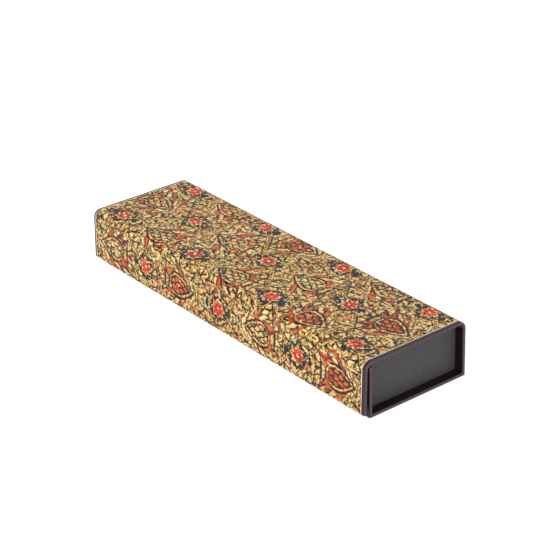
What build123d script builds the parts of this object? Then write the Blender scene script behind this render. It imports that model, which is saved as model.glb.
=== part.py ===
from build123d import *
import math
import os

# A hard pencil case. A paper-covered board tray is glued into a folded board cover, whose lid turns on a
# rounded fold at the back. The flap in front turns on a second rounded fold and is held shut by magnets.
# X runs along the case, Y from the flap to the spine and Z up. The origin is the middle of the footprint.
# All sizes are in millimetres and all angles in degrees.

# Overall sizes
length = 220.0  # over the ends of the cover
width = 63.5  # from the foot of the flap to the back of the spine
height = 29.6  # from the table to the top of the lid

# Boards and papers
cover_paper = 0.2  # patterned paper outside, turned in round every board's edge
lining_paper = 0.2  # plain paper inside the lid, the flap and the tray
tray_paper = 0.2  # plain paper outside the tray, turned in over its rim
wrap_board = 1.3  # lid and flap
case_board = 1.3  # base, spine and front panel
tray_board = 1.5  # floor and walls of the tray
edge_round = 0.4  # how the paper rounds a board's edge

# Folds
front_fold_radius = 4.0  # outside of the fold between lid and flap
back_fold_radius = 4.0  # outside of the fold between lid and spine
back_crease_radius = 0.8  # inside of that fold

# Flap
flap_lift = 2.4  # from the table to the foot of the shut flap
flap_lean = 2.2  # how far the shut flap's foot stands out from plumb
shut_gap = 0.9  # between the top of the shut flap and the front panel

# Tray and front panel
tray_recess = 5.2  # how far the tray's ends stand back from the cover's ends
lid_clearance = 0.4  # between the shut lid and the tray's rim
front_panel_drop = 1.0  # front panel's top edge, below the underside of the lid
turn_in = 2.5  # cover paper that shows round a lining sheet
tray_turn_in = 6.0  # tray paper that shows inside the tray's rim

# Magnets
magnet_radius = 5.0
magnet_fit = 0.05  # clearance round a magnet in its board
magnet_spacing = 110.0  # between the two magnets of a row
magnet_height = 13.0  # above the table
flap_magnet_thickness = 1.0

# Places that follow from those sizes
half_length = length / 2
wrap_thickness = cover_paper + wrap_board + lining_paper
case_panel = cover_paper + case_board
lid_underside = height - wrap_thickness

spine_face = width / 2
spine_inside = spine_face - case_panel
back_fold_y = spine_face - back_fold_radius
back_fold_z = height - back_fold_radius
crease_centre = (spine_inside - back_crease_radius, lid_underside - back_crease_radius)

lean_cos = math.cos(math.radians(flap_lean))
lean_sin = math.sin(math.radians(flap_lean))
front_bend = 90 - flap_lean
front_fold_z = height - front_fold_radius
inner_fold_radius = front_fold_radius - wrap_thickness
flap_drop = (front_fold_z - flap_lift + inner_fold_radius * lean_sin) / lean_cos
foot_reach = (front_fold_radius - edge_round) * lean_cos + (flap_drop - edge_round) * lean_sin + edge_round
front_fold_y = foot_reach - width / 2

front_face = front_fold_y - inner_fold_radius * lean_cos + shut_gap
front_inside = front_face + case_panel
front_top = lid_underside - front_panel_drop

tray_half = half_length - tray_recess
tray_top = lid_underside - lid_clearance
board_half = tray_half - tray_paper
board_front = front_inside + tray_paper
board_back = spine_inside - tray_paper
board_bottom = case_panel + tray_paper
board_top = tray_top - tray_paper
floor_top = board_bottom + tray_board
room_half = board_half - tray_board - lining_paper
room_front = board_front + tray_board + lining_paper
room_back = board_back - tray_board - lining_paper
room_floor = floor_top + lining_paper
lining_top = tray_top - tray_turn_in

# The flap's own plane: its local Y runs up the flap, its Z points out of it, and its origin is the fold's centre
flap_plane = Plane(
    origin=(0, front_fold_y, front_fold_z),
    x_dir=(1, 0, 0),
    z_dir=(0, -lean_cos, lean_sin),
)
magnet_drop = (front_fold_z - magnet_height) / lean_cos


def fold_axis(centre_y, centre_z, neutral_radius, start_angle, bend):
    """Y and Z of the line that a fold turns about, so that its middle layer keeps its length when it is flat."""
    reach = neutral_radius * math.radians(bend) / (2 * math.sin(math.radians(bend / 2)))
    middle = math.radians(start_angle + bend / 2)
    return centre_y + reach * math.cos(middle), centre_z + reach * math.sin(middle)


def bar(half, y_span, z_span, mode=Mode.ADD):
    """A straight bar, centred along X, between two places in Y and two in Z."""
    with BuildSketch(Plane.YZ) as section:
        with Locations((y_span[0], z_span[0])):
            Rectangle(y_span[1] - y_span[0], z_span[1] - z_span[0], align=(Align.MIN, Align.MIN))
    extrude(section.sketch, amount=half, both=True, mode=mode)


def flap_slab(half, down_span, out_span, mode=Mode.ADD):
    """A flat slab in the flap's plane: down_span is measured from the fold's centre, out_span along its normal."""
    with BuildSketch(flap_plane.offset(out_span[0])) as outline:
        with Locations((0, -down_span[1])):
            Rectangle(2 * half, down_span[1] - down_span[0], align=(Align.CENTER, Align.MIN))
    extrude(outline.sketch, amount=out_span[1] - out_span[0], mode=mode)


def fold_layer(half, inner, outer, mode=Mode.ADD):
    """One layer of the front fold, between two radii about the fold's centre."""
    with BuildSketch(Plane.YZ) as section:
        with BuildLine():
            rim = CenterArc((front_fold_y, front_fold_z), outer, 90, front_bend)
            throat = CenterArc((front_fold_y, front_fold_z), inner, 90, front_bend)
            Line(rim @ 0, throat @ 0)
            Line(rim @ 1, throat @ 1)
        make_face()
    extrude(section.sketch, amount=half, both=True, mode=mode)


def end_edges(builder):
    """The edges round a solid's two end faces."""
    ends = builder.faces().filter_by(Axis.X).group_by(Axis.X)
    return ends[0].edges() + ends[-1].edges()


# Outer form of the lid, both folds and the flap, which one sheet of paper covers
with BuildPart() as wrap_form:
    with BuildSketch(Plane.YZ):
        with BuildLine():
            spine_side = CenterArc((back_fold_y, back_fold_z), back_fold_radius, 0, 90)
            front_rim = CenterArc((front_fold_y, front_fold_z), front_fold_radius, 90, front_bend)
            throat = CenterArc((front_fold_y, front_fold_z), inner_fold_radius, 90, front_bend)
            crease = CenterArc(crease_centre, back_crease_radius, 0, 90)
            Line(spine_side @ 1, front_rim @ 0)
            outer_foot = front_rim @ 1 + (front_rim % 1) * flap_drop
            inner_foot = throat @ 1 + (throat % 1) * flap_drop
            Polyline(front_rim @ 1, outer_foot, inner_foot, throat @ 1)
            Line(throat @ 0, crease @ 1)
            Polyline(crease @ 0, (spine_inside, back_fold_z), spine_side @ 0)
        make_face()
    extrude(amount=half_length, both=True)
    foot_edges = wrap_form.edges().filter_by(Axis.X).sort_by(Axis.Z)[:2]
    seam_level = wrap_form.faces().filter_by(Axis.Z).sort_by(Axis.Z)[0].edges()
    fillet([edge for edge in end_edges(wrap_form) if edge not in seam_level] + foot_edges, edge_round)

# Outer form of the base, the spine and the front panel, with the paper turned in over the ends of their insides
with BuildPart() as case_form:
    bar(half_length, (front_face, spine_face), (0, case_panel + cover_paper))
    bar(half_length, (front_face, front_inside + cover_paper), (0, front_top))
    bar(half_length, (spine_inside - cover_paper, spine_face), (0, back_fold_z))
    bar(tray_half, (front_inside, spine_inside), (case_panel, height), mode=Mode.SUBTRACT)
    seam_level = case_form.faces().filter_by(Axis.Z).sort_by(Axis.Y)[-1].edges()
    long_edges = case_form.edges().filter_by(Axis.X)
    outer_edges = long_edges.group_by(Axis.Z)[0] + long_edges.group_by(Axis.Y)[0].sort_by(Axis.Z)[-1:]
    fillet([edge for edge in end_edges(case_form) if edge not in seam_level] + outer_edges, edge_round)

# Boards of the cover
paper_half = half_length - cover_paper

with BuildPart() as base_board:
    bar(paper_half, (front_face + cover_paper, spine_face - cover_paper), (cover_paper, case_panel))

with BuildPart() as spine_board:
    bar(paper_half, (spine_inside, spine_face - cover_paper), (case_panel, back_fold_z))

with BuildPart() as front_board:
    bar(paper_half, (front_face + cover_paper, front_inside), (case_panel, front_top - cover_paper))
    with BuildSketch(Plane.XZ.offset(-front_inside)) as magnet_holes:
        with Locations((0, magnet_height)):
            with GridLocations(magnet_spacing, 0, 2, 1):
                Circle(magnet_radius + magnet_fit)
    extrude(magnet_holes.sketch, amount=case_board, mode=Mode.SUBTRACT)

with BuildPart() as lid_board:
    bar(paper_half, (front_fold_y, back_fold_y), (lid_underside + lining_paper, height - cover_paper))

flap_inner = inner_fold_radius + lining_paper
flap_outer = front_fold_radius - cover_paper

with BuildPart() as flap_board:
    flap_slab(paper_half, (0, flap_drop - cover_paper), (flap_inner, flap_outer))
    with BuildSketch(flap_plane.offset(flap_inner)) as magnet_pockets:
        with Locations((0, -magnet_drop)):
            with GridLocations(magnet_spacing, 0, 2, 1):
                Circle(magnet_radius + magnet_fit)
    extrude(magnet_pockets.sketch, amount=flap_magnet_thickness, mode=Mode.SUBTRACT)

# Magnets: one pair fills the holes in the front panel, the other the pockets in the flap
with BuildPart() as front_magnets:
    with BuildSketch(Plane.XZ.offset(-front_inside)) as discs:
        with Locations((0, magnet_height)):
            with GridLocations(magnet_spacing, 0, 2, 1):
                Circle(magnet_radius)
    extrude(discs.sketch, amount=case_board)

with BuildPart() as flap_magnets:
    with BuildSketch(flap_plane.offset(flap_inner)) as discs:
        with Locations((0, -magnet_drop)):
            with GridLocations(magnet_spacing, 0, 2, 1):
                Circle(magnet_radius)
    extrude(discs.sketch, amount=flap_magnet_thickness)

# Linings of the lid and the flap, framed by the cover paper's turned-in edges
lining_half = half_length - turn_in

with BuildPart() as lid_lining:
    bar(lining_half, (front_fold_y, back_fold_y), (lid_underside, lid_underside + lining_paper))

with BuildPart() as flap_lining:
    flap_slab(lining_half, (0, flap_drop - turn_in), (inner_fold_radius, flap_inner))

# Front fold: a soft card core between the cover paper and the lining
with BuildPart() as front_fold_core:
    fold_layer(paper_half, flap_inner, flap_outer)

with BuildPart() as front_fold_lining:
    fold_layer(lining_half, inner_fold_radius, flap_inner)

# Back fold: a core that turns down into the spine, with its lining creased inside the corner
lining_top_z = lid_underside + lining_paper
lining_back_y = spine_inside + lining_paper

with BuildPart() as back_fold_core:
    with BuildSketch(Plane.YZ):
        with BuildLine():
            core_rim = CenterArc((back_fold_y, back_fold_z), back_fold_radius - cover_paper, 0, 90)
            core_crease = CenterArc(crease_centre, back_crease_radius + lining_paper, 0, 90)
            Polyline(core_rim @ 1, (back_fold_y, lining_top_z), core_crease @ 1)
            Polyline(core_crease @ 0, (lining_back_y, back_fold_z), core_rim @ 0)
        make_face()
    extrude(amount=paper_half, both=True)

with BuildPart() as back_fold_lining:
    with BuildSketch(Plane.YZ):
        with BuildLine():
            outer = CenterArc(crease_centre, back_crease_radius + lining_paper, 0, 90)
            inner = CenterArc(crease_centre, back_crease_radius, 0, 90)
            Polyline(outer @ 1, (back_fold_y, lining_top_z), (back_fold_y, lid_underside), inner @ 1)
            Polyline(outer @ 0, (lining_back_y, back_fold_z), (spine_inside, back_fold_z), inner @ 0)
        make_face()
    extrude(amount=lining_half, both=True)

# Cover paper: what is left of the two outer forms round their boards, cores and linings
with BuildPart() as base_cover:
    add(case_form.part)
    wall_span = (case_panel, height)
    bar(half_length, (front_face, front_inside + cover_paper), wall_span, mode=Mode.SUBTRACT)
    bar(half_length, (spine_inside - cover_paper, spine_face), wall_span, mode=Mode.SUBTRACT)
    add(base_board.part, mode=Mode.SUBTRACT)

with BuildPart() as front_cover:
    add(case_form.part)
    bar(half_length, (front_face, front_inside + cover_paper), wall_span, mode=Mode.INTERSECT)
    bar(paper_half, (front_face + cover_paper, front_inside), (case_panel, front_top - cover_paper), mode=Mode.SUBTRACT)

with BuildPart() as spine_cover:
    add(case_form.part)
    bar(half_length, (spine_inside - cover_paper, spine_face), wall_span, mode=Mode.INTERSECT)
    add(spine_board.part, mode=Mode.SUBTRACT)

with BuildPart() as lid_cover:
    add(wrap_form.part)
    bar(half_length, (front_fold_y, back_fold_y), (0, height), mode=Mode.INTERSECT)
    add(lid_board.part, mode=Mode.SUBTRACT)
    add(lid_lining.part, mode=Mode.SUBTRACT)

flap_top_plane = Plane(origin=flap_plane.origin, x_dir=(1, 0, 0), z_dir=flap_plane.y_dir)

with BuildPart() as flap_cover:
    add(wrap_form.part)
    split(bisect_by=Plane.XZ.offset(-front_fold_y), keep=Keep.TOP)
    split(bisect_by=flap_top_plane, keep=Keep.BOTTOM)
    flap_slab(paper_half, (0, flap_drop - cover_paper), (flap_inner, flap_outer), mode=Mode.SUBTRACT)
    add(flap_lining.part, mode=Mode.SUBTRACT)

with BuildPart() as front_fold_cover:
    add(wrap_form.part)
    split(bisect_by=Plane.XZ.offset(-front_fold_y), keep=Keep.TOP)
    split(bisect_by=flap_top_plane, keep=Keep.TOP)
    add(front_fold_core.part, mode=Mode.SUBTRACT)
    add(front_fold_lining.part, mode=Mode.SUBTRACT)

with BuildPart() as back_fold_cover:
    add(wrap_form.part)
    split(bisect_by=Plane.XZ.offset(-back_fold_y), keep=Keep.BOTTOM)
    add(back_fold_core.part, mode=Mode.SUBTRACT)
    add(back_fold_lining.part, mode=Mode.SUBTRACT)

# Tray: a floor inside four walls, the end walls between the long ones
wall_heights = (board_bottom, board_top)

with BuildPart() as tray_floor:
    floor_y = (board_front + tray_board, board_back - tray_board)
    bar(board_half - tray_board, floor_y, (board_bottom, floor_top))

with BuildPart() as tray_front_wall:
    bar(board_half, (board_front, board_front + tray_board), wall_heights)

with BuildPart() as tray_back_wall:
    bar(board_half, (board_back - tray_board, board_back), wall_heights)

with BuildPart() as tray_right_wall:
    bar(board_half, floor_y, wall_heights)
    bar(board_half - tray_board, floor_y, wall_heights, mode=Mode.SUBTRACT)
    split(bisect_by=Plane.YZ, keep=Keep.TOP)

with BuildPart() as tray_left_wall:
    mirror(tray_right_wall.part, about=Plane.YZ)

with BuildPart() as tray_lining:
    lining_y = (room_front - lining_paper, room_back + lining_paper)
    bar(room_half + lining_paper, lining_y, (floor_top, lining_top))
    bar(room_half, (room_front, room_back), (room_floor, lining_top), mode=Mode.SUBTRACT)

# The tray's own paper covers its outside and turns over the rim, down to the lining
with BuildPart() as tray_cover:
    bar(tray_half, (front_inside, spine_inside), (case_panel, tray_top))
    fillet(tray_cover.edges().filter_by(Axis.Z), edge_round)
    bar(room_half, (room_front, room_back), (room_floor, tray_top), mode=Mode.SUBTRACT)
    fillet(tray_cover.faces().sort_by(Axis.Z)[-1].edges(), edge_round)
    for board in (tray_floor, tray_front_wall, tray_back_wall, tray_left_wall, tray_right_wall, tray_lining):
        add(board.part, mode=Mode.SUBTRACT)

pieces = {
    "base_board": base_board,
    "spine_board": spine_board,
    "front_board": front_board,
    "front_magnets": front_magnets,
    "base_cover": base_cover,
    "spine_cover": spine_cover,
    "front_cover": front_cover,
    "tray_floor": tray_floor,
    "tray_front_wall": tray_front_wall,
    "tray_back_wall": tray_back_wall,
    "tray_left_wall": tray_left_wall,
    "tray_right_wall": tray_right_wall,
    "tray_cover": tray_cover,
    "tray_lining": tray_lining,
    "back_fold_core": back_fold_core,
    "back_fold_cover": back_fold_cover,
    "back_fold_lining": back_fold_lining,
    "lid_board": lid_board,
    "lid_cover": lid_cover,
    "lid_lining": lid_lining,
    "front_fold_core": front_fold_core,
    "front_fold_cover": front_fold_cover,
    "front_fold_lining": front_fold_lining,
    "flap_board": flap_board,
    "flap_cover": flap_cover,
    "flap_lining": flap_lining,
    "flap_magnets": flap_magnets,
}

os.makedirs("parts", exist_ok=True)
for name, piece in pieces.items():
    piece.part.label = name
    export_step(piece.part, f"parts/{name}.step")

# The lines that the two folds turn about
back_neutral_radius = back_fold_radius - case_panel / 2
front_neutral_radius = front_fold_radius - wrap_thickness / 2
print("lid turns about Y, Z =", fold_axis(back_fold_y, back_fold_z, back_neutral_radius, 0, 90))
print("flap turns about Y, Z =", fold_axis(front_fold_y, front_fold_z, front_neutral_radius, 90, front_bend))
print("room in the tray, X Y Z =", room_half, (room_front, room_back), (room_floor, tray_top))
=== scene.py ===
# Looks of a hard pencil case: printed paper over board, a plain recessed tray and two paper folds.
# Sizes are in metres unless a name or a comment says millimetres.
import math

import bpy
from mathutils import Matrix, Vector


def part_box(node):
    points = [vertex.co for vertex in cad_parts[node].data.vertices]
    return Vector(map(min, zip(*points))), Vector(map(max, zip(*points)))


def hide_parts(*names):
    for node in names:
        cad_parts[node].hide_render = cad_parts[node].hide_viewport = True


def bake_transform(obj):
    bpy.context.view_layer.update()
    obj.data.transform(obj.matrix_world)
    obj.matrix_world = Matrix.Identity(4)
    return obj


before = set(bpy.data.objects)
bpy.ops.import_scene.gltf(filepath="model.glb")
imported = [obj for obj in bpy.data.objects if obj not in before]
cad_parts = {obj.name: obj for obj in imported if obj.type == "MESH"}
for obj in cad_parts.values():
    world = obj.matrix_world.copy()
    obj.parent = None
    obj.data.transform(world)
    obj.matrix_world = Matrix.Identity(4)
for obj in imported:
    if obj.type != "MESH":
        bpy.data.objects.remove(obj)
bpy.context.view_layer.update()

MM = 0.001

# Camera
IMAGE_SIZE = 533
FOCAL_PIXELS = 1821.95
SENSOR_MM = 36.0
AZIMUTH = math.radians(52.411)
ELEVATION = math.radians(26.723)
ROLL = math.radians(-1.886)
DISTANCE = 0.92464
SHIFT_RIGHT = -0.00092
SHIFT_UP = 0.02406

# Palette, sRGB 0 to 255
GOLD_PALE = (238, 214, 148)
GOLD = (230, 198, 124)
# Painted shade in the gaps between rows of stitches
STITCH_GAP_SHADE = (146, 96, 58)
OLIVE = (152, 138, 78)
CREAM = (242, 228, 176)
GLINT = (255, 240, 196)
INK = (14, 13, 40)
NAVY = (12, 14, 28)
PLUM = (78, 14, 34)
CORAL = (232, 66, 54)
CRIMSON = (176, 48, 52)
RUST = (172, 50, 34)
ORANGE = (212, 112, 50)
GREEN = (8, 86, 64)
TURN_IN = (100, 84, 88)
STRIP = (48, 28, 38)
# Painted highlight along the rounded end folds, beside the gold's ends
EDGE_HIGHLIGHT = (236, 226, 200)
# Painted shade of the recess, on the inner faces of the spine, base and front in place of their plum
# turned-in paper
RECESS_SHADE = (32, 22, 24)
TRAY_GREY = (90, 87, 88)
LINING = (74, 58, 66)
BOARD_GREY = (150, 145, 138)
MAGNET = (190, 190, 192)


def linear(colour):
    """An sRGB colour of 0 to 255 as linear RGBA."""
    parts = [c / 255 for c in colour]
    return tuple(c / 12.92 if c <= 0.04045 else ((c + 0.055) / 1.055) ** 2.4 for c in parts) + (1.0,)


class Value:
    """A number in a node tree. Sums written with it in Python become Math nodes."""

    def __init__(self, tree, socket):
        self.tree = tree
        self.socket = socket

    def math(self, operation, *others):
        node = self.tree.nodes.new("ShaderNodeMath")
        node.operation = operation
        for place, item in enumerate((self, *others)):
            if isinstance(item, Value):
                self.tree.links.new(item.socket, node.inputs[place])
            else:
                node.inputs[place].default_value = item
        return Value(self.tree, node.outputs[0])

    def __add__(self, other):
        return self.math("ADD", other)

    __radd__ = __add__

    def __sub__(self, other):
        return self.math("SUBTRACT", other)

    def __rsub__(self, other):
        return (self * -1) + other

    def __mul__(self, other):
        return self.math("MULTIPLY", other)

    __rmul__ = __mul__

    def __truediv__(self, other):
        return self.math("DIVIDE", other)

    def __abs__(self):
        return self.math("ABSOLUTE")

    def cos(self):
        return self.math("COSINE")

    def sin(self):
        return self.math("SINE")

    def sqrt(self):
        return self.math("SQRT")

    def power(self, exponent):
        return self.math("POWER", exponent)

    def floor(self):
        return self.math("FLOOR")

    def fract(self):
        return self.math("FRACT")

    def least(self, other):
        return self.math("MINIMUM", other)

    def most(self, other):
        return self.math("MAXIMUM", other)

    def over(self, other):
        """1 where this is more than other, otherwise 0."""
        return self.math("GREATER_THAN", other)

    def rise(self, low, high):
        """0 below low, 1 above high and smooth between."""
        node = self.tree.nodes.new("ShaderNodeMapRange")
        node.interpolation_type = "SMOOTHSTEP"
        self.tree.links.new(self.socket, node.inputs["Value"])
        node.inputs["From Min"].default_value = low
        node.inputs["From Max"].default_value = high
        return Value(self.tree, node.outputs["Result"])


SOFT = 0.12  # half the width of a printed line's edge, in mm


def inside(distance):
    """1 where a signed distance in mm is below 0, with a soft edge."""
    return 1 - distance.rise(-SOFT, SOFT)


def line(distance, width):
    """1 within half of width either side of a distance's zero."""
    return 1 - abs(distance).rise(width / 2 - SOFT, width / 2 + SOFT)


def band(distance, low, high):
    """1 where a distance lies between low and high."""
    return line(distance - (low + high) / 2, high - low)


class Print:
    """Layers of ink on a sheet, each laid over the ones before it."""

    def __init__(self, tree, ground):
        self.tree = tree
        self.colour = ground

    def lay(self, colour, mask, blend="MIX"):
        node = self.tree.nodes.new("ShaderNodeMix")
        node.data_type = "RGBA"
        node.blend_type = blend
        if isinstance(mask, Value):
            self.tree.links.new(mask.socket, node.inputs["Factor"])
        else:
            node.inputs["Factor"].default_value = mask
        for item, name in ((self.colour, "A"), (colour, "B")):
            socket = [s for s in node.inputs if s.name == name and s.type == "RGBA"][0]
            if isinstance(item, bpy.types.NodeSocket):
                self.tree.links.new(item, socket)
            else:
                socket.default_value = linear(item)
        self.colour = [s for s in node.outputs if s.type == "RGBA"][0]


def choose(tree, value, colours):
    """One of several colours in equal shares, picked by a value of 0 to 1."""
    ramp = tree.nodes.new("ShaderNodeValToRGB")
    ramp.color_ramp.interpolation = "CONSTANT"
    tree.links.new(value.socket, ramp.inputs["Fac"])
    elements = ramp.color_ramp.elements
    while len(elements) < len(colours):
        elements.new(1.0)
    for index, colour in enumerate(colours):
        elements[index].position = index / len(colours)
        elements[index].color = linear(colour)
    return ramp.outputs["Color"]


def pair(tree, x, y, z=0.0):
    node = tree.nodes.new("ShaderNodeCombineXYZ")
    for place, item in enumerate((x, y, z)):
        if isinstance(item, Value):
            tree.links.new(item.socket, node.inputs[place])
        else:
            node.inputs[place].default_value = item
    return node.outputs[0]


def hashed(tree, x, y, seed=0.0):
    """A random value of 0 to 1 that is fixed for each x and y."""
    node = tree.nodes.new("ShaderNodeTexWhiteNoise")
    node.noise_dimensions = "3D"
    tree.links.new(pair(tree, x, y, seed), node.inputs["Vector"])
    return Value(tree, node.outputs["Value"])


def noise(tree, x, y, size, detail=1.0, seed=0.0):
    """Smooth noise of 0 to 1 with features about size across."""
    node = tree.nodes.new("ShaderNodeTexNoise")
    node.noise_dimensions = "3D"
    tree.links.new(pair(tree, x, y, seed), node.inputs["Vector"])
    node.inputs["Scale"].default_value = 1 / size
    node.inputs["Detail"].default_value = detail
    return Value(tree, node.outputs["Fac"])


def cells(tree, x, y, randomness, seed=0.0):
    """Scattered cells, one for each unit of x and y. Returns the node."""
    node = tree.nodes.new("ShaderNodeTexVoronoi")
    node.voronoi_dimensions = "3D" if seed else "2D"
    node.inputs["Scale"].default_value = 1.0
    node.inputs["Randomness"].default_value = randomness
    tree.links.new(pair(tree, x, y, seed), node.inputs["Vector"])
    return node


def split_colour(tree, node):
    """The three random values that a cells node gives each cell."""
    split = tree.nodes.new("ShaderNodeSeparateColor")
    tree.links.new(node.outputs["Color"], split.inputs[0])
    return [Value(tree, output) for output in split.outputs]


# Sizes of the print, in mm
OVAL_LENGTH = 62.0
OVAL_HEIGHT = 46.0
STITCH_LENGTH = 1.6
STITCH_ROW = 0.95
STITCH_PULL = 0.45  # how far a stitch draws the lines over it to its own middle, from 0 to 1
OUTLINE = 0.64
HAND_SHAKE = 1.0  # how far a hand-drawn line wanders
SHAKE_SIZE = 4.0  # and over what distance
LEAF_LENGTH = 5.6
LEAF_WIDTH = 3.3
LEAF_POINT = 0.62  # 1 gives straight-sided leaves, less gives rounder ones
VEIN_WIDTH = 0.7
TURN_SIZE = 24.0  # over which the short leaves turn to another direction
INK_SIZE = 15.0  # over which the outlines change their ink
FRAME_LEAVES = (1.4, 3.7, 5.0)  # from the frame, from leaf to leaf, and their length
LONG_LEAVES = (4.6, 5.0, 9.0)
BUD_LEAVES = (0.4, 4.6, 6.4)
ROPE_EDGE = 1.75  # from the middle of a frame to the outside of its dark edge
ROPE = 1.15  # and to the outside of its gold
BEADS_PER_MM = 0.62
BUD_LENGTH = 20.0
BUD_WIDTH = 13.0
SCALE = 3.4  # of the bud
DOT_SPACING = 2.9
FLORET_RADIUS = 4.3
PETALS = 8
SPANDREL_START = 20.5  # from the middle of an oval to its dark corners

# Shades of the threads, which darken the print under them
THREADS = [
    (255, 255, 250),
    (214, 198, 168),
    (255, 252, 238),
    (150, 132, 106),
    (238, 224, 196),
    (255, 255, 250),
    (188, 170, 144),
]


class Stitches:
    """Rows of stitches, each shifted by half a stitch. Every stitch has one place and two random values."""

    def __init__(self, tree, along, across):
        row = (across / STITCH_ROW).floor()
        shift = (row * 0.5).fract()
        stitch = (along / STITCH_LENGTH + shift).floor()
        self.along = (stitch - shift + 0.5) * STITCH_LENGTH
        self.across = (row + 0.5) * STITCH_ROW
        self.pick = hashed(tree, stitch, row, 0.5)
        self.other_pick = hashed(tree, stitch, row, 7.5)
        in_row = (across / STITCH_ROW).fract() - 0.5
        in_stitch = (along / STITCH_LENGTH + shift).fract() - 0.5
        self.crown = (1 - in_row * in_row * 3) * (1 - in_stitch * in_stitch * 2)


class Lattice:
    """Pointed ovals between waving frames, in a half drop. x and y run from the middle of each oval."""

    def __init__(self, tree, u, v):
        phase = u / OVAL_LENGTH
        wave = (phase * math.tau).cos() * 0.25
        rise_a = v / OVAL_HEIGHT - wave
        rise_b = v / OVAL_HEIGHT + wave - 0.5
        slope = (phase * math.tau).sin() * (0.5 * math.pi * OVAL_HEIGHT / OVAL_LENGTH)
        steep = (slope * slope + 1).sqrt()
        from_a = ((rise_a + 0.5).fract() - 0.5) * OVAL_HEIGHT / steep
        from_b = ((rise_b + 0.5).fract() - 0.5) * OVAL_HEIGHT / steep
        self.frame = abs(from_a).least(abs(from_b))
        row = rise_a.floor()
        odd = 1 - abs(row - rise_b.floor()).least(1.0)
        even = 1 - odd
        middle_u = ((phase - even * 0.5 + 0.5).floor() + even * 0.5) * OVAL_LENGTH
        middle_v = (row + 0.25 + odd * 0.5) * OVAL_HEIGHT
        self.x = u - middle_u
        self.y = v - middle_v
        self.pick = hashed(tree, middle_u, middle_v)
        self.facing = self.pick.over(0.5) * 2 - 1

    def node_place(self):
        """A place measured from the nearest meeting of the frames, as a distance and an angle."""
        end_x = abs(self.x) - OVAL_LENGTH / 2
        side_y = abs(self.y) - OVAL_HEIGHT / 2
        end = (end_x * end_x + self.y * self.y).sqrt()
        side = (self.x * self.x + side_y * side_y).sqrt()
        nearer = side.over(end)
        way_x = end_x * nearer + self.x * (1 - nearer)
        way_y = self.y * nearer + side_y * (1 - nearer)
        return end.least(side), way_y.math("ARCTAN2", way_x)


def leaf_row(tree, sheet, along, away, sizes, slant, seed, fills, outline, vein=0.0):
    """A row of pointed leaves beside a curve. away is the distance from it, along the place on it."""
    start, pitch, length = sizes
    depth = away - start
    place = (along + depth * slant) / pitch
    number = place.floor()
    offset = abs(place - number - 0.5) * pitch
    reach = (1 - depth / length).most(0.0)
    edge = offset - reach.power(LEAF_POINT) * (pitch * 0.5)
    standing = depth.over(0.0) * (1 - depth.over(length))
    sheet.lay(choose(tree, hashed(tree, number, seed), fills), inside(edge) * standing)
    if vein:
        rib = line(offset, VEIN_WIDTH) * band(depth / length, 0.2, 0.7)
        sheet.lay(outline, rib * standing * vein)
    sheet.lay(outline, line(edge, OUTLINE) * standing)


def ground(tree, sheet, u, v, ink):
    """Short leaves, scattered on the gold between the larger motifs."""
    turn = (noise(tree, u, v, TURN_SIZE, 0.0, 5.0) - 0.5) * 6
    cell_x = (u * turn.cos() + v * turn.sin()) / LEAF_LENGTH
    cell_y = (v * turn.cos() - u * turn.sin()) / LEAF_WIDTH
    leaf = cells(tree, cell_x, cell_y, 0.8)
    distance = Value(tree, leaf.outputs["Distance"])
    kind, drawn, _ = split_colour(tree, leaf)
    drawn = drawn.over(0.35)
    fills = [GOLD, GOLD_PALE, GOLD_PALE, GOLD, OLIVE, GOLD_PALE, GOLD, GOLD_PALE, GOLD, ORANGE]
    sheet.lay(choose(tree, kind, fills), (1 - distance.rise(0.38, 0.44)) * drawn)
    sheet.lay(ink, distance.rise(0.3, 0.34) * (1 - distance.rise(0.42, 0.47)) * drawn)
    sheet.lay(ink, (1 - distance.rise(0.05, 0.1)) * drawn)


def spandrels(tree, sheet, lattice, u, v):
    """Dark corners of each oval, with gold and green dots."""
    past_start = abs(lattice.x) - SPANDREL_START - abs(lattice.y) * 0.35
    corner = past_start.rise(-0.2, 0.2) * (lattice.frame - 1.6).rise(-0.2, 0.2)
    sheet.lay(NAVY, corner)
    dots = cells(tree, u / DOT_SPACING, v / DOT_SPACING, 0.6, 3.0)
    distance = Value(tree, dots.outputs["Distance"])
    kinds = choose(tree, split_colour(tree, dots)[1], [GOLD, GREEN, GOLD_PALE, GREEN, GOLD])
    sheet.lay(kinds, (1 - distance.rise(0.32, 0.42)) * corner)


def bud(tree, sheet, lattice, ink):
    """A scaled bud in the middle of each oval, in a ring of short leaves."""
    x, y = lattice.x, lattice.y
    share = ((x * lattice.facing + BUD_LENGTH / 2) / BUD_LENGTH).least(0.999).most(0.001)
    rim = (abs(y) - share.sqrt() * (1 - share) * (1.3 * BUD_WIDTH)) * 0.86
    rim = rim.most(abs(x) - BUD_LENGTH / 2)
    fills = [GOLD, GOLD_PALE, GOLD, GOLD_PALE, GOLD, ORANGE]
    leaf_row(tree, sheet, x * lattice.facing, rim, BUD_LEAVES, 1.1, 2.9, fills, ink)
    sheet.lay(ink, inside(rim - 0.9))
    sheet.lay(GOLD, inside(rim + 0.3))
    sheet.lay(ink, inside(rim + 1.2))
    sheet.lay(choose(tree, lattice.pick, [GOLD, GOLD_PALE, ORANGE, GOLD]), inside(rim + 1.9))
    column = (x / SCALE).floor()
    in_column = x / SCALE - column
    scale_y = (y / SCALE + (column * 0.5).fract()).fract() - 0.5
    scale = (in_column * in_column + scale_y * scale_y * 3.2).sqrt() - 0.82
    sheet.lay(ink, line(scale * SCALE, 1.1) * inside(rim + 1.9))


def frames(sheet, lattice, u, ink):
    """A beaded gold rope along each frame."""
    sheet.lay(ink, inside(lattice.frame - ROPE_EDGE))
    sheet.lay(GOLD, inside(lattice.frame - ROPE))
    bead = (u * BEADS_PER_MM).fract() - 0.5
    between = (bead * bead * 5 + lattice.frame * lattice.frame * 1.1).rise(0.35, 0.6)
    sheet.lay(ink, between * inside(lattice.frame - 0.7))


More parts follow.
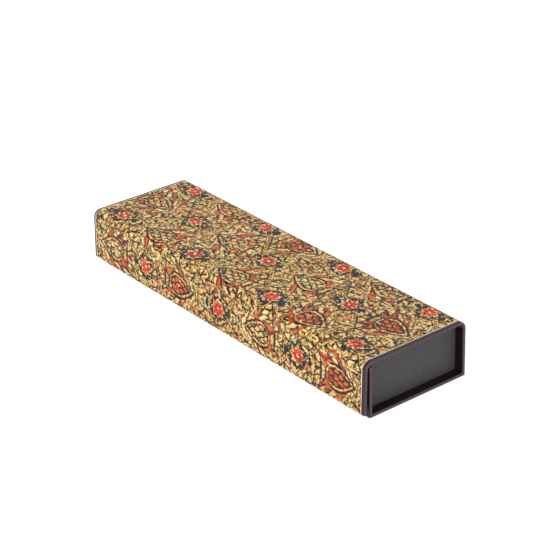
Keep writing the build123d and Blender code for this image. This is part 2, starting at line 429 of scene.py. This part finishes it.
def florets(sheet, lattice):
    """A star-shaped flower over each meeting of the frames."""
    distance, angle = lattice.node_place()
    petals = (angle * PETALS).cos()
    rays = (angle * (2 * PETALS)).cos()
    sheet.lay(NAVY, inside(distance - FLORET_RADIUS - 2.4 - rays * 0.5))
    sheet.lay(GREEN, line(distance - FLORET_RADIUS - 1.5, 0.9) * rays.rise(-0.2, 0.2))
    sheet.lay(GOLD_PALE, inside(distance - FLORET_RADIUS - 0.5 - petals * 0.8))
    sheet.lay(CORAL, inside(distance - FLORET_RADIUS + 0.5 - petals * 1.1))
    sheet.lay(RUST, line(distance - 2.3 - petals * 0.6, 0.5))
    sheet.lay(CREAM, inside(distance - 0.8))


def paint(tree, along, across):
    """Draws the print for places along and across the sheet, in mm. Returns its colour and its relief."""
    stitches = Stitches(tree, along, across)
    shake_u = (noise(tree, along, across, SHAKE_SIZE, 1.0, 3.1) - 0.5) * HAND_SHAKE
    shake_v = (noise(tree, along, across, SHAKE_SIZE, 1.0, 8.7) - 0.5) * HAND_SHAKE
    u = stitches.along * STITCH_PULL + along * (1 - STITCH_PULL) + shake_u
    v = stitches.across * STITCH_PULL + across * (1 - STITCH_PULL) + shake_v
    lattice = Lattice(tree, u, v)
    inks = [INK, PLUM, INK, INK, CRIMSON, PLUM, INK, PLUM, INK]
    ink = choose(tree, noise(tree, u, v, INK_SIZE, 1.0, 2.0).rise(0.3, 0.7), inks)

    sheet = Print(tree, GOLD)
    ground(tree, sheet, u, v, ink)
    side = lattice.x.math("SIGN")
    long_fills = [GOLD, GOLD_PALE, GOLD, GOLD_PALE, GOLD, ORANGE, GOLD_PALE, GOLD, GOLD_PALE]
    frame_fills = [GOLD, GOLD_PALE, GOLD_PALE, GOLD]
    leaf_row(tree, sheet, u * side, lattice.frame, LONG_LEAVES, 0.75, 1.7, long_fills, ink, 0.6)
    leaf_row(tree, sheet, u * side, lattice.frame, FRAME_LEAVES, 0.6, 4.4, frame_fills, ink)
    bud(tree, sheet, lattice, ink)
    spandrels(tree, sheet, lattice, u, v)
    frames(sheet, lattice, u, ink)
    florets(sheet, lattice)

    # Each stitch has its thread's tone, a few get a painted glint, and painted shade darkens the gaps between
    # rows and the edges of each stitch
    sheet.lay(choose(tree, stitches.pick, THREADS), 1.0, "MULTIPLY")
    sheet.lay(GLINT, stitches.other_pick.over(0.975) * 0.6)
    sheet.lay(STITCH_GAP_SHADE, (1 - stitches.crown) * 0.38, "MULTIPLY")
    return sheet.colour, stitches.crown


def print_group():
    """The whole print as one node group, which every printed piece's material uses."""
    group = bpy.data.node_groups.new("print", "ShaderNodeTree")
    for name in ("Along", "Across"):
        group.interface.new_socket(name, in_out="INPUT", socket_type="NodeSocketFloat")
    group.interface.new_socket("Colour", in_out="OUTPUT", socket_type="NodeSocketColor")
    group.interface.new_socket("Relief", in_out="OUTPUT", socket_type="NodeSocketFloat")
    places = group.nodes.new("NodeGroupInput")
    along, across = [Value(group, places.outputs[name]) for name in ("Along", "Across")]
    colour, relief = paint(group, along, across)
    results = group.nodes.new("NodeGroupOutput")
    group.links.new(colour, results.inputs["Colour"])
    group.links.new(relief.socket, results.inputs["Relief"])
    return group


# The folds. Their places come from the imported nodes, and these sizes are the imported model's own.
FRONT_FOLD_RADIUS = 4.0 * MM  # outside
FLAP_LEAN = math.radians(2.2)  # of the shut flap's foot, out from plumb
BACK_CREASE_RADIUS = 0.8 * MM  # inside
EDGE_ROUND = 0.4 * MM  # along the edges of a fold's ends
TURN_IN_SHOWN = 2.5 * MM  # from each end to the lining, on the inside

# Where the sheet changes, in mm
PRINT_ENDS = (-108.5, 107.9)  # where the gold stops, along the case
EDGE_HIGHLIGHT_WIDTH = 0.35  # of the painted pale highlight beside the gold's ends
TURNED_EDGE = (0.2, 0.3)  # depths over which the print gives way to the turned-in paper
INNER_FACE = (1.6, 1.68)  # and that to a panel's inner face

PAPER_RELIEF = 0.2 * MM

lid_low, lid_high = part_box("lid_cover")
flap_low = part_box("flap_cover")[0]
spine_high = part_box("spine_cover")[1]
half_length = lid_high.x
lid_thickness = lid_high.z - lid_low.z
back_centre = (lid_high.y, spine_high.z)
back_radius = spine_high.y - lid_high.y
front_centre = (lid_low.y, lid_high.z - FRONT_FOLD_RADIUS)
front_bend = math.pi / 2 - FLAP_LEAN

# Where each panel starts on the unrolled sheet, from the foot of the flap upwards
front_inner_radius = FRONT_FOLD_RADIUS - lid_thickness
flap_rise = front_centre[1] - flap_low.z + front_inner_radius * math.sin(FLAP_LEAN)
flap_length = flap_rise / math.cos(FLAP_LEAN)
lid_start = flap_length + FRONT_FOLD_RADIUS * front_bend
back_fold_start = lid_start + lid_high.y - lid_low.y
spine_start = back_fold_start + back_radius * math.pi / 2


def new_material(name):
    material = bpy.data.materials.new(name)
    material.use_nodes = True
    tree = material.node_tree
    shader = tree.nodes["Principled BSDF"]
    return material, tree, shader


def object_place(tree):
    """The three coordinates of a CAD node's own space, in metres, as Values."""
    coordinates = tree.nodes.new("ShaderNodeTexCoord")
    split = tree.nodes.new("ShaderNodeSeparateXYZ")
    tree.links.new(coordinates.outputs["Object"], split.inputs[0])
    return [Value(tree, output) for output in split.outputs]


def sheet_place(tree):
    """The two coordinates of a piece's sheet, in metres, as Values."""
    layer = tree.nodes.new("ShaderNodeUVMap")
    layer.uv_map = "sheet"
    split = tree.nodes.new("ShaderNodeSeparateXYZ")
    tree.links.new(layer.outputs["UV"], split.inputs[0])
    return [Value(tree, output) for output in split.outputs[:2]]


def bump(tree, shader, height, strength):
    node = tree.nodes.new("ShaderNodeBump")
    node.inputs["Strength"].default_value = strength
    node.inputs["Distance"].default_value = PAPER_RELIEF
    tree.links.new(height.socket, node.inputs["Height"])
    tree.links.new(node.outputs["Normal"], shader.inputs["Normal"])


def fibre_in(tree, size, detail=3.0):
    """Even noise in a node's own space, with features about size mm across."""
    node = tree.nodes.new("ShaderNodeTexNoise")
    node.noise_dimensions = "3D"
    coordinates = tree.nodes.new("ShaderNodeTexCoord")
    tree.links.new(coordinates.outputs["Object"], node.inputs["Vector"])
    node.inputs["Scale"].default_value = 1 / (size * MM)
    node.inputs["Detail"].default_value = detail
    return Value(tree, node.outputs["Fac"])


def shaded(colour, share):
    return tuple(c * share for c in colour)


def print_material(name, place, inner=TURN_IN):
    """Printed paper, with a painted pale highlight along its end folds and plum where it turns in.

    place gives a point's place along and across the sheet and its depth below the outer face, in mm,
    and 1 where the sheet is plain. inner is the colour of its inner face.
    """
    material, tree, shader = new_material(name)
    along, across, depth, plain = place(tree)
    drawn = tree.nodes.new("ShaderNodeGroup")
    drawn.node_tree = the_print
    tree.links.new(along.socket, drawn.inputs["Along"])
    tree.links.new(across.socket, drawn.inputs["Across"])
    sheet = Print(tree, drawn.outputs["Colour"])
    relief = Value(tree, drawn.outputs["Relief"])
    fibre = fibre_in(tree, 0.7)
    past_print = (PRINT_ENDS[0] - along).most(along - PRINT_ENDS[1])
    # A painted pale highlight along the gold's ends, where the sheet rounds over the end folds
    sheet.lay(EDGE_HIGHLIGHT, (past_print + EDGE_HIGHLIGHT_WIDTH).rise(-0.1, 0.1))
    sheet.lay(STRIP, past_print.rise(-0.1, 0.1).most(plain.rise(0.4, 0.6)))
    turned = (abs(along) - half_length / MM + 0.1).rise(-0.05, 0.05).most(depth.rise(*TURNED_EDGE))
    sheet.lay(TURN_IN, turned)
    sheet.lay(shaded(TURN_IN, 0.72), turned * fibre.rise(0.4, 0.7) * 0.8)
    sheet.lay(inner, depth.rise(*INNER_FACE))
    tree.links.new(sheet.colour, shader.inputs["Base Color"])
    shader.inputs["Roughness"].default_value = 0.42
    shader.inputs["Specular IOR Level"].default_value = 0.18
    bump(tree, shader, relief + fibre * 0.6, 0.3)
    return material


def plain_paper(name, colour, size, strength, roughness, contrast=0.6):
    """A plain surface whose fibres are about size mm across."""
    material, tree, shader = new_material(name)
    fibre = fibre_in(tree, size)
    sheet = Print(tree, colour)
    sheet.lay(shaded(colour, 0.8), fibre.rise(0.35, 0.7) * contrast)
    sheet.lay(shaded(colour, 1.15), (1 - fibre_in(tree, size * 3, 1.0)).rise(0.5, 0.75) * contrast)
    tree.links.new(sheet.colour, shader.inputs["Base Color"])
    shader.inputs["Roughness"].default_value = roughness
    bump(tree, shader, fibre, strength)
    return material


def lid_place(tree):
    x, y, z = object_place(tree)
    return x / MM, (y - lid_low.y + lid_start) / MM, (lid_high.z - z) / MM, x * 0


def spine_place(tree):
    x, y, z = object_place(tree)
    return x / MM, (spine_start + spine_high.z - z) / MM, (spine_high.y - y) / MM, x * 0


def flap_place(tree):
    x, y, z = object_place(tree)
    down_y, down_z = -math.sin(FLAP_LEAN), -math.cos(FLAP_LEAN)
    down = (y - front_centre[0]) * down_y + (z - front_centre[1]) * down_z
    out = (y - front_centre[0]) * down_z - (z - front_centre[1]) * down_y
    return x / MM, (flap_length - down) / MM, (FRONT_FOLD_RADIUS - out) / MM, x * 0


base_low, base_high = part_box("base_cover")


def base_place(tree):
    x, y, z = object_place(tree)
    side = (base_high.y - y).least(y - base_low.y)
    front_edge = 1 - ((y - base_low.y) / MM).rise(0.3, 0.4)
    return x / MM, (spine_start + spine_high.z + base_high.y - y) / MM, z.least(side) / MM, front_edge


def front_place(tree):
    x, y, z = object_place(tree)
    return x / MM, z / MM, (y - base_low.y) / MM, x * 0 + 1


def fold_place(tree):
    x, v = sheet_place(tree)
    return x / MM, v / MM, x * 0, x * 0


the_print = print_group()
lid_print = print_material("lid_print", lid_place)
# The spine, base and front get the painted recess shade on their inner faces
spine_print = print_material("spine_print", spine_place, RECESS_SHADE)
flap_print = print_material("flap_print", flap_place)
base_print = print_material("base_print", base_place, RECESS_SHADE)
front_print = print_material("front_print", front_place, RECESS_SHADE)
fold_print = print_material("fold_print", fold_place)
turn_in_paper = plain_paper("turn_in_paper", TURN_IN, 0.8, 0.3, 0.6)
tray_paper = plain_paper("tray_paper", TRAY_GREY, 0.5, 0.4, 0.8)
lining_paper = plain_paper("lining_paper", LINING, 1.0, 0.3, 0.8)
board = plain_paper("board", BOARD_GREY, 0.7, 0.4, 0.9)
magnet = plain_paper("magnet", MAGNET, 0.7, 0.05, 0.25)

finishes = {
    "lid_cover": lid_print,
    "spine_cover": spine_print,
    "flap_cover": flap_print,
    "base_cover": base_print,
    "front_cover": front_print,
    "tray_cover": tray_paper,
    "tray_lining": lining_paper,
    "lid_lining": lining_paper,
    "flap_lining": lining_paper,
}
for name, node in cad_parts.items():
    finish = finishes.get(name, magnet if "magnet" in name else board)
    for slot in node.material_slots:
        slot.material = finish


CORNER_STEPS = 4
PRINTED, TURNED_IN, LINED = range(3)  # the kinds of a fold's faces, in the order of its materials


def fold_mesh(name, outer, inner, starts):
    """A closed fold between rows of outer and inner places (y, z). starts are their places on the sheet."""
    corner = [i * math.pi / 2 / CORNER_STEPS for i in range(CORNER_STEPS + 1)]
    round_start = half_length - EDGE_ROUND
    rows = []
    for (oy, oz), (iy, iz) in zip(outer, inner):
        thick = math.hypot(iy - oy, iz - oz)
        way = ((iy - oy) / thick, (iz - oz) / thick)
        half = [(round_start + EDGE_ROUND * math.sin(a), EDGE_ROUND * (1 - math.cos(a))) for a in corner]
        half += [(x, thick - depth) for x, depth in reversed(half)]
        half.append((half_length - TURN_IN_SHOWN, thick))
        ring = half + [(-x, depth) for x, depth in reversed(half)]
        rows.append([(x, oy + way[0] * depth, oz + way[1] * depth) for x, depth in ring])
    count = len(rows[0])
    vertices = [p for row in rows for p in row]
    faces = []
    kinds = []
    for r in range(len(rows) - 1):
        for c in range(count):
            n = (c + 1) % count
            faces.append((r * count + c, r * count + n, (r + 1) * count + n, (r + 1) * count + c))
            from_outside = c if c < count // 2 else count - 2 - c
            if c == count - 1 or from_outside < CORNER_STEPS // 2:
                kinds.append(PRINTED)
            elif c == count // 2 - 1:
                kinds.append(LINED)
            else:
                kinds.append(TURNED_IN)
    faces.append(tuple(range(count)))
    faces.append(tuple(reversed(range((len(rows) - 1) * count, len(rows) * count))))
    kinds += [TURNED_IN, TURNED_IN]
    mesh = bpy.data.meshes.new(name)
    mesh.from_pydata(vertices, [], faces)
    for material in (fold_print, turn_in_paper, lining_paper):
        mesh.materials.append(material)
    layer = mesh.uv_layers.new(name="sheet")
    for polygon, kind in zip(mesh.polygons, kinds):
        polygon.material_index = kind
        polygon.use_smooth = len(polygon.vertices) == 4
        for loop in polygon.loop_indices:
            vertex = mesh.loops[loop].vertex_index
            layer.data[loop].uv = (mesh.vertices[vertex].co.x, starts[vertex // count])
    mesh.validate()
    piece = bpy.data.objects.new(name, mesh)
    bpy.context.scene.collection.objects.link(piece)
    return piece


def arc(centre, radius, angles):
    return [(centre[0] + radius * math.cos(a), centre[1] + radius * math.sin(a)) for a in angles]


FOLD_STEPS = 24
front_angles = [math.pi / 2 + front_bend * i / FOLD_STEPS for i in range(FOLD_STEPS + 1)]
front_fold = fold_mesh(
    "front_fold",
    arc(front_centre, FRONT_FOLD_RADIUS, front_angles),
    arc(front_centre, front_inner_radius, front_angles),
    [lid_start - FRONT_FOLD_RADIUS * (a - math.pi / 2) for a in front_angles],
)
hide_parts("front_fold_cover", "front_fold_core", "front_fold_lining")

back_angles = [math.pi / 2 * i / FOLD_STEPS for i in range(FOLD_STEPS + 1)]

# The back fold's inside follows the inner faces of the spine and the lid, which meet in a small round crease
spine_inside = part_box("spine_board")[0].y - back_centre[0]
lid_inside = lid_low.z - back_centre[1]
back_inner = []
for a in back_angles:
    way = Vector((math.cos(a), math.sin(a)))
    reach = min(lid_inside / max(way.y, 0.001), spine_inside / max(way.x, 0.001))
    crease = Vector((spine_inside - BACK_CREASE_RADIUS, lid_inside - BACK_CREASE_RADIUS))
    if way.x * reach > crease.x and way.y * reach > crease.y:
        level = crease.dot(way)
        reach = level + math.sqrt(max(BACK_CREASE_RADIUS**2 - crease.length_squared + level**2, 0))
    back_inner.append((back_centre[0] + reach * way.x, back_centre[1] + reach * way.y))
back_fold = fold_mesh(
    "back_fold",
    arc(back_centre, back_radius, back_angles),
    back_inner,
    [spine_start - back_radius * a for a in back_angles],
)
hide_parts("back_fold_cover", "back_fold_core", "back_fold_lining")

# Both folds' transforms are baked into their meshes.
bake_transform(front_fold)
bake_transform(back_fold)


# Stage, lights and camera
FLOOR_GLOW = 0.6  # makes the floor white where it is seen
FLOOR_HALF = 3.0
FLOOR_DROP = 0.05 * MM  # keeps the floor's face apart from the case's underside
SKY = 0.5


def area_light(name, place, target, size, power):
    data = bpy.data.lights.new(name, "AREA")
    data.size = size
    data.energy = power
    lamp = bpy.data.objects.new(name, data)
    lamp.location = place
    lamp.rotation_euler = (Vector(target) - Vector(place)).to_track_quat("-Z", "Y").to_euler()
    bpy.context.scene.collection.objects.link(lamp)


def seen_or_reflected(tree):
    """1 on camera rays and on those that a mirror or glass sends on, otherwise 0."""
    path = tree.nodes.new("ShaderNodeLightPath")
    names = ("Is Camera Ray", "Is Glossy Ray", "Is Transmission Ray")
    rays = [Value(tree, path.outputs[name]) for name in names]
    return rays[0].most(rays[1]).most(rays[2])


def stage_material(name):
    """A pale floor. Seen by the camera and in reflections it is white, with a faint shadow of the object."""
    material, tree, shader = new_material(name)
    shader.inputs["Base Color"].default_value = (0.85, 0.85, 0.85, 1)
    shader.inputs["Roughness"].default_value = 1.0
    shader.inputs["Specular IOR Level"].default_value = 0.0
    shader.inputs["Emission Color"].default_value = (1, 1, 1, 1)
    seen = seen_or_reflected(tree)
    tree.links.new((seen * FLOOR_GLOW).socket, shader.inputs["Emission Strength"])
    return material


floor_mesh = bpy.data.meshes.new("floor")
corners = [(-1, -1), (1, -1), (1, 1), (-1, 1)]
corners = [(x * FLOOR_HALF, y * FLOOR_HALF, -FLOOR_DROP) for x, y in corners]
floor_mesh.from_pydata(corners, [], [(0, 1, 2, 3)])
floor = bpy.data.objects.new("floor", floor_mesh)
floor_mesh.materials.append(stage_material("floor"))
bpy.context.scene.collection.objects.link(floor)

world = bpy.data.worlds.new("world")
bpy.context.scene.world = world
world.use_nodes = True
world_tree = world.node_tree
background = world_tree.nodes["Background"]
background.inputs["Color"].default_value = (1, 1, 1, 1)
seen = seen_or_reflected(world_tree)
world_strength = seen + (1 - seen) * SKY
world_tree.links.new(world_strength.socket, background.inputs["Strength"])
area_light("key", (0.1, -1.0, 0.75), (0, 0, 0), 0.8, 12)
area_light("top", (-0.3, 0.5, 1.1), (0, 0, 0), 0.8, 3)

level_share = math.cos(ELEVATION)
back = Vector((math.sin(AZIMUTH) * level_share, -math.cos(AZIMUTH) * level_share, math.sin(ELEVATION)))
level_right = (-back).cross(Vector((0, 0, 1))).normalized()
level_up = level_right.cross(-back)
right = level_right * math.cos(ROLL) + level_up * math.sin(ROLL)
up = level_up * math.cos(ROLL) - level_right * math.sin(ROLL)
camera_data = bpy.data.cameras.new("camera")
camera_data.sensor_width = SENSOR_MM
camera_data.lens = FOCAL_PIXELS * SENSOR_MM / IMAGE_SIZE
camera = bpy.data.objects.new("camera", camera_data)
camera_place = back * DISTANCE + right * SHIFT_RIGHT + up * SHIFT_UP
axes_and_place = [(right[i], up[i], back[i], camera_place[i]) for i in range(3)]
camera.matrix_world = Matrix(axes_and_place + [(0, 0, 0, 1)])
bpy.context.scene.collection.objects.link(camera)
bpy.context.scene.camera = camera
bpy.context.scene.view_settings.view_transform = "Standard"
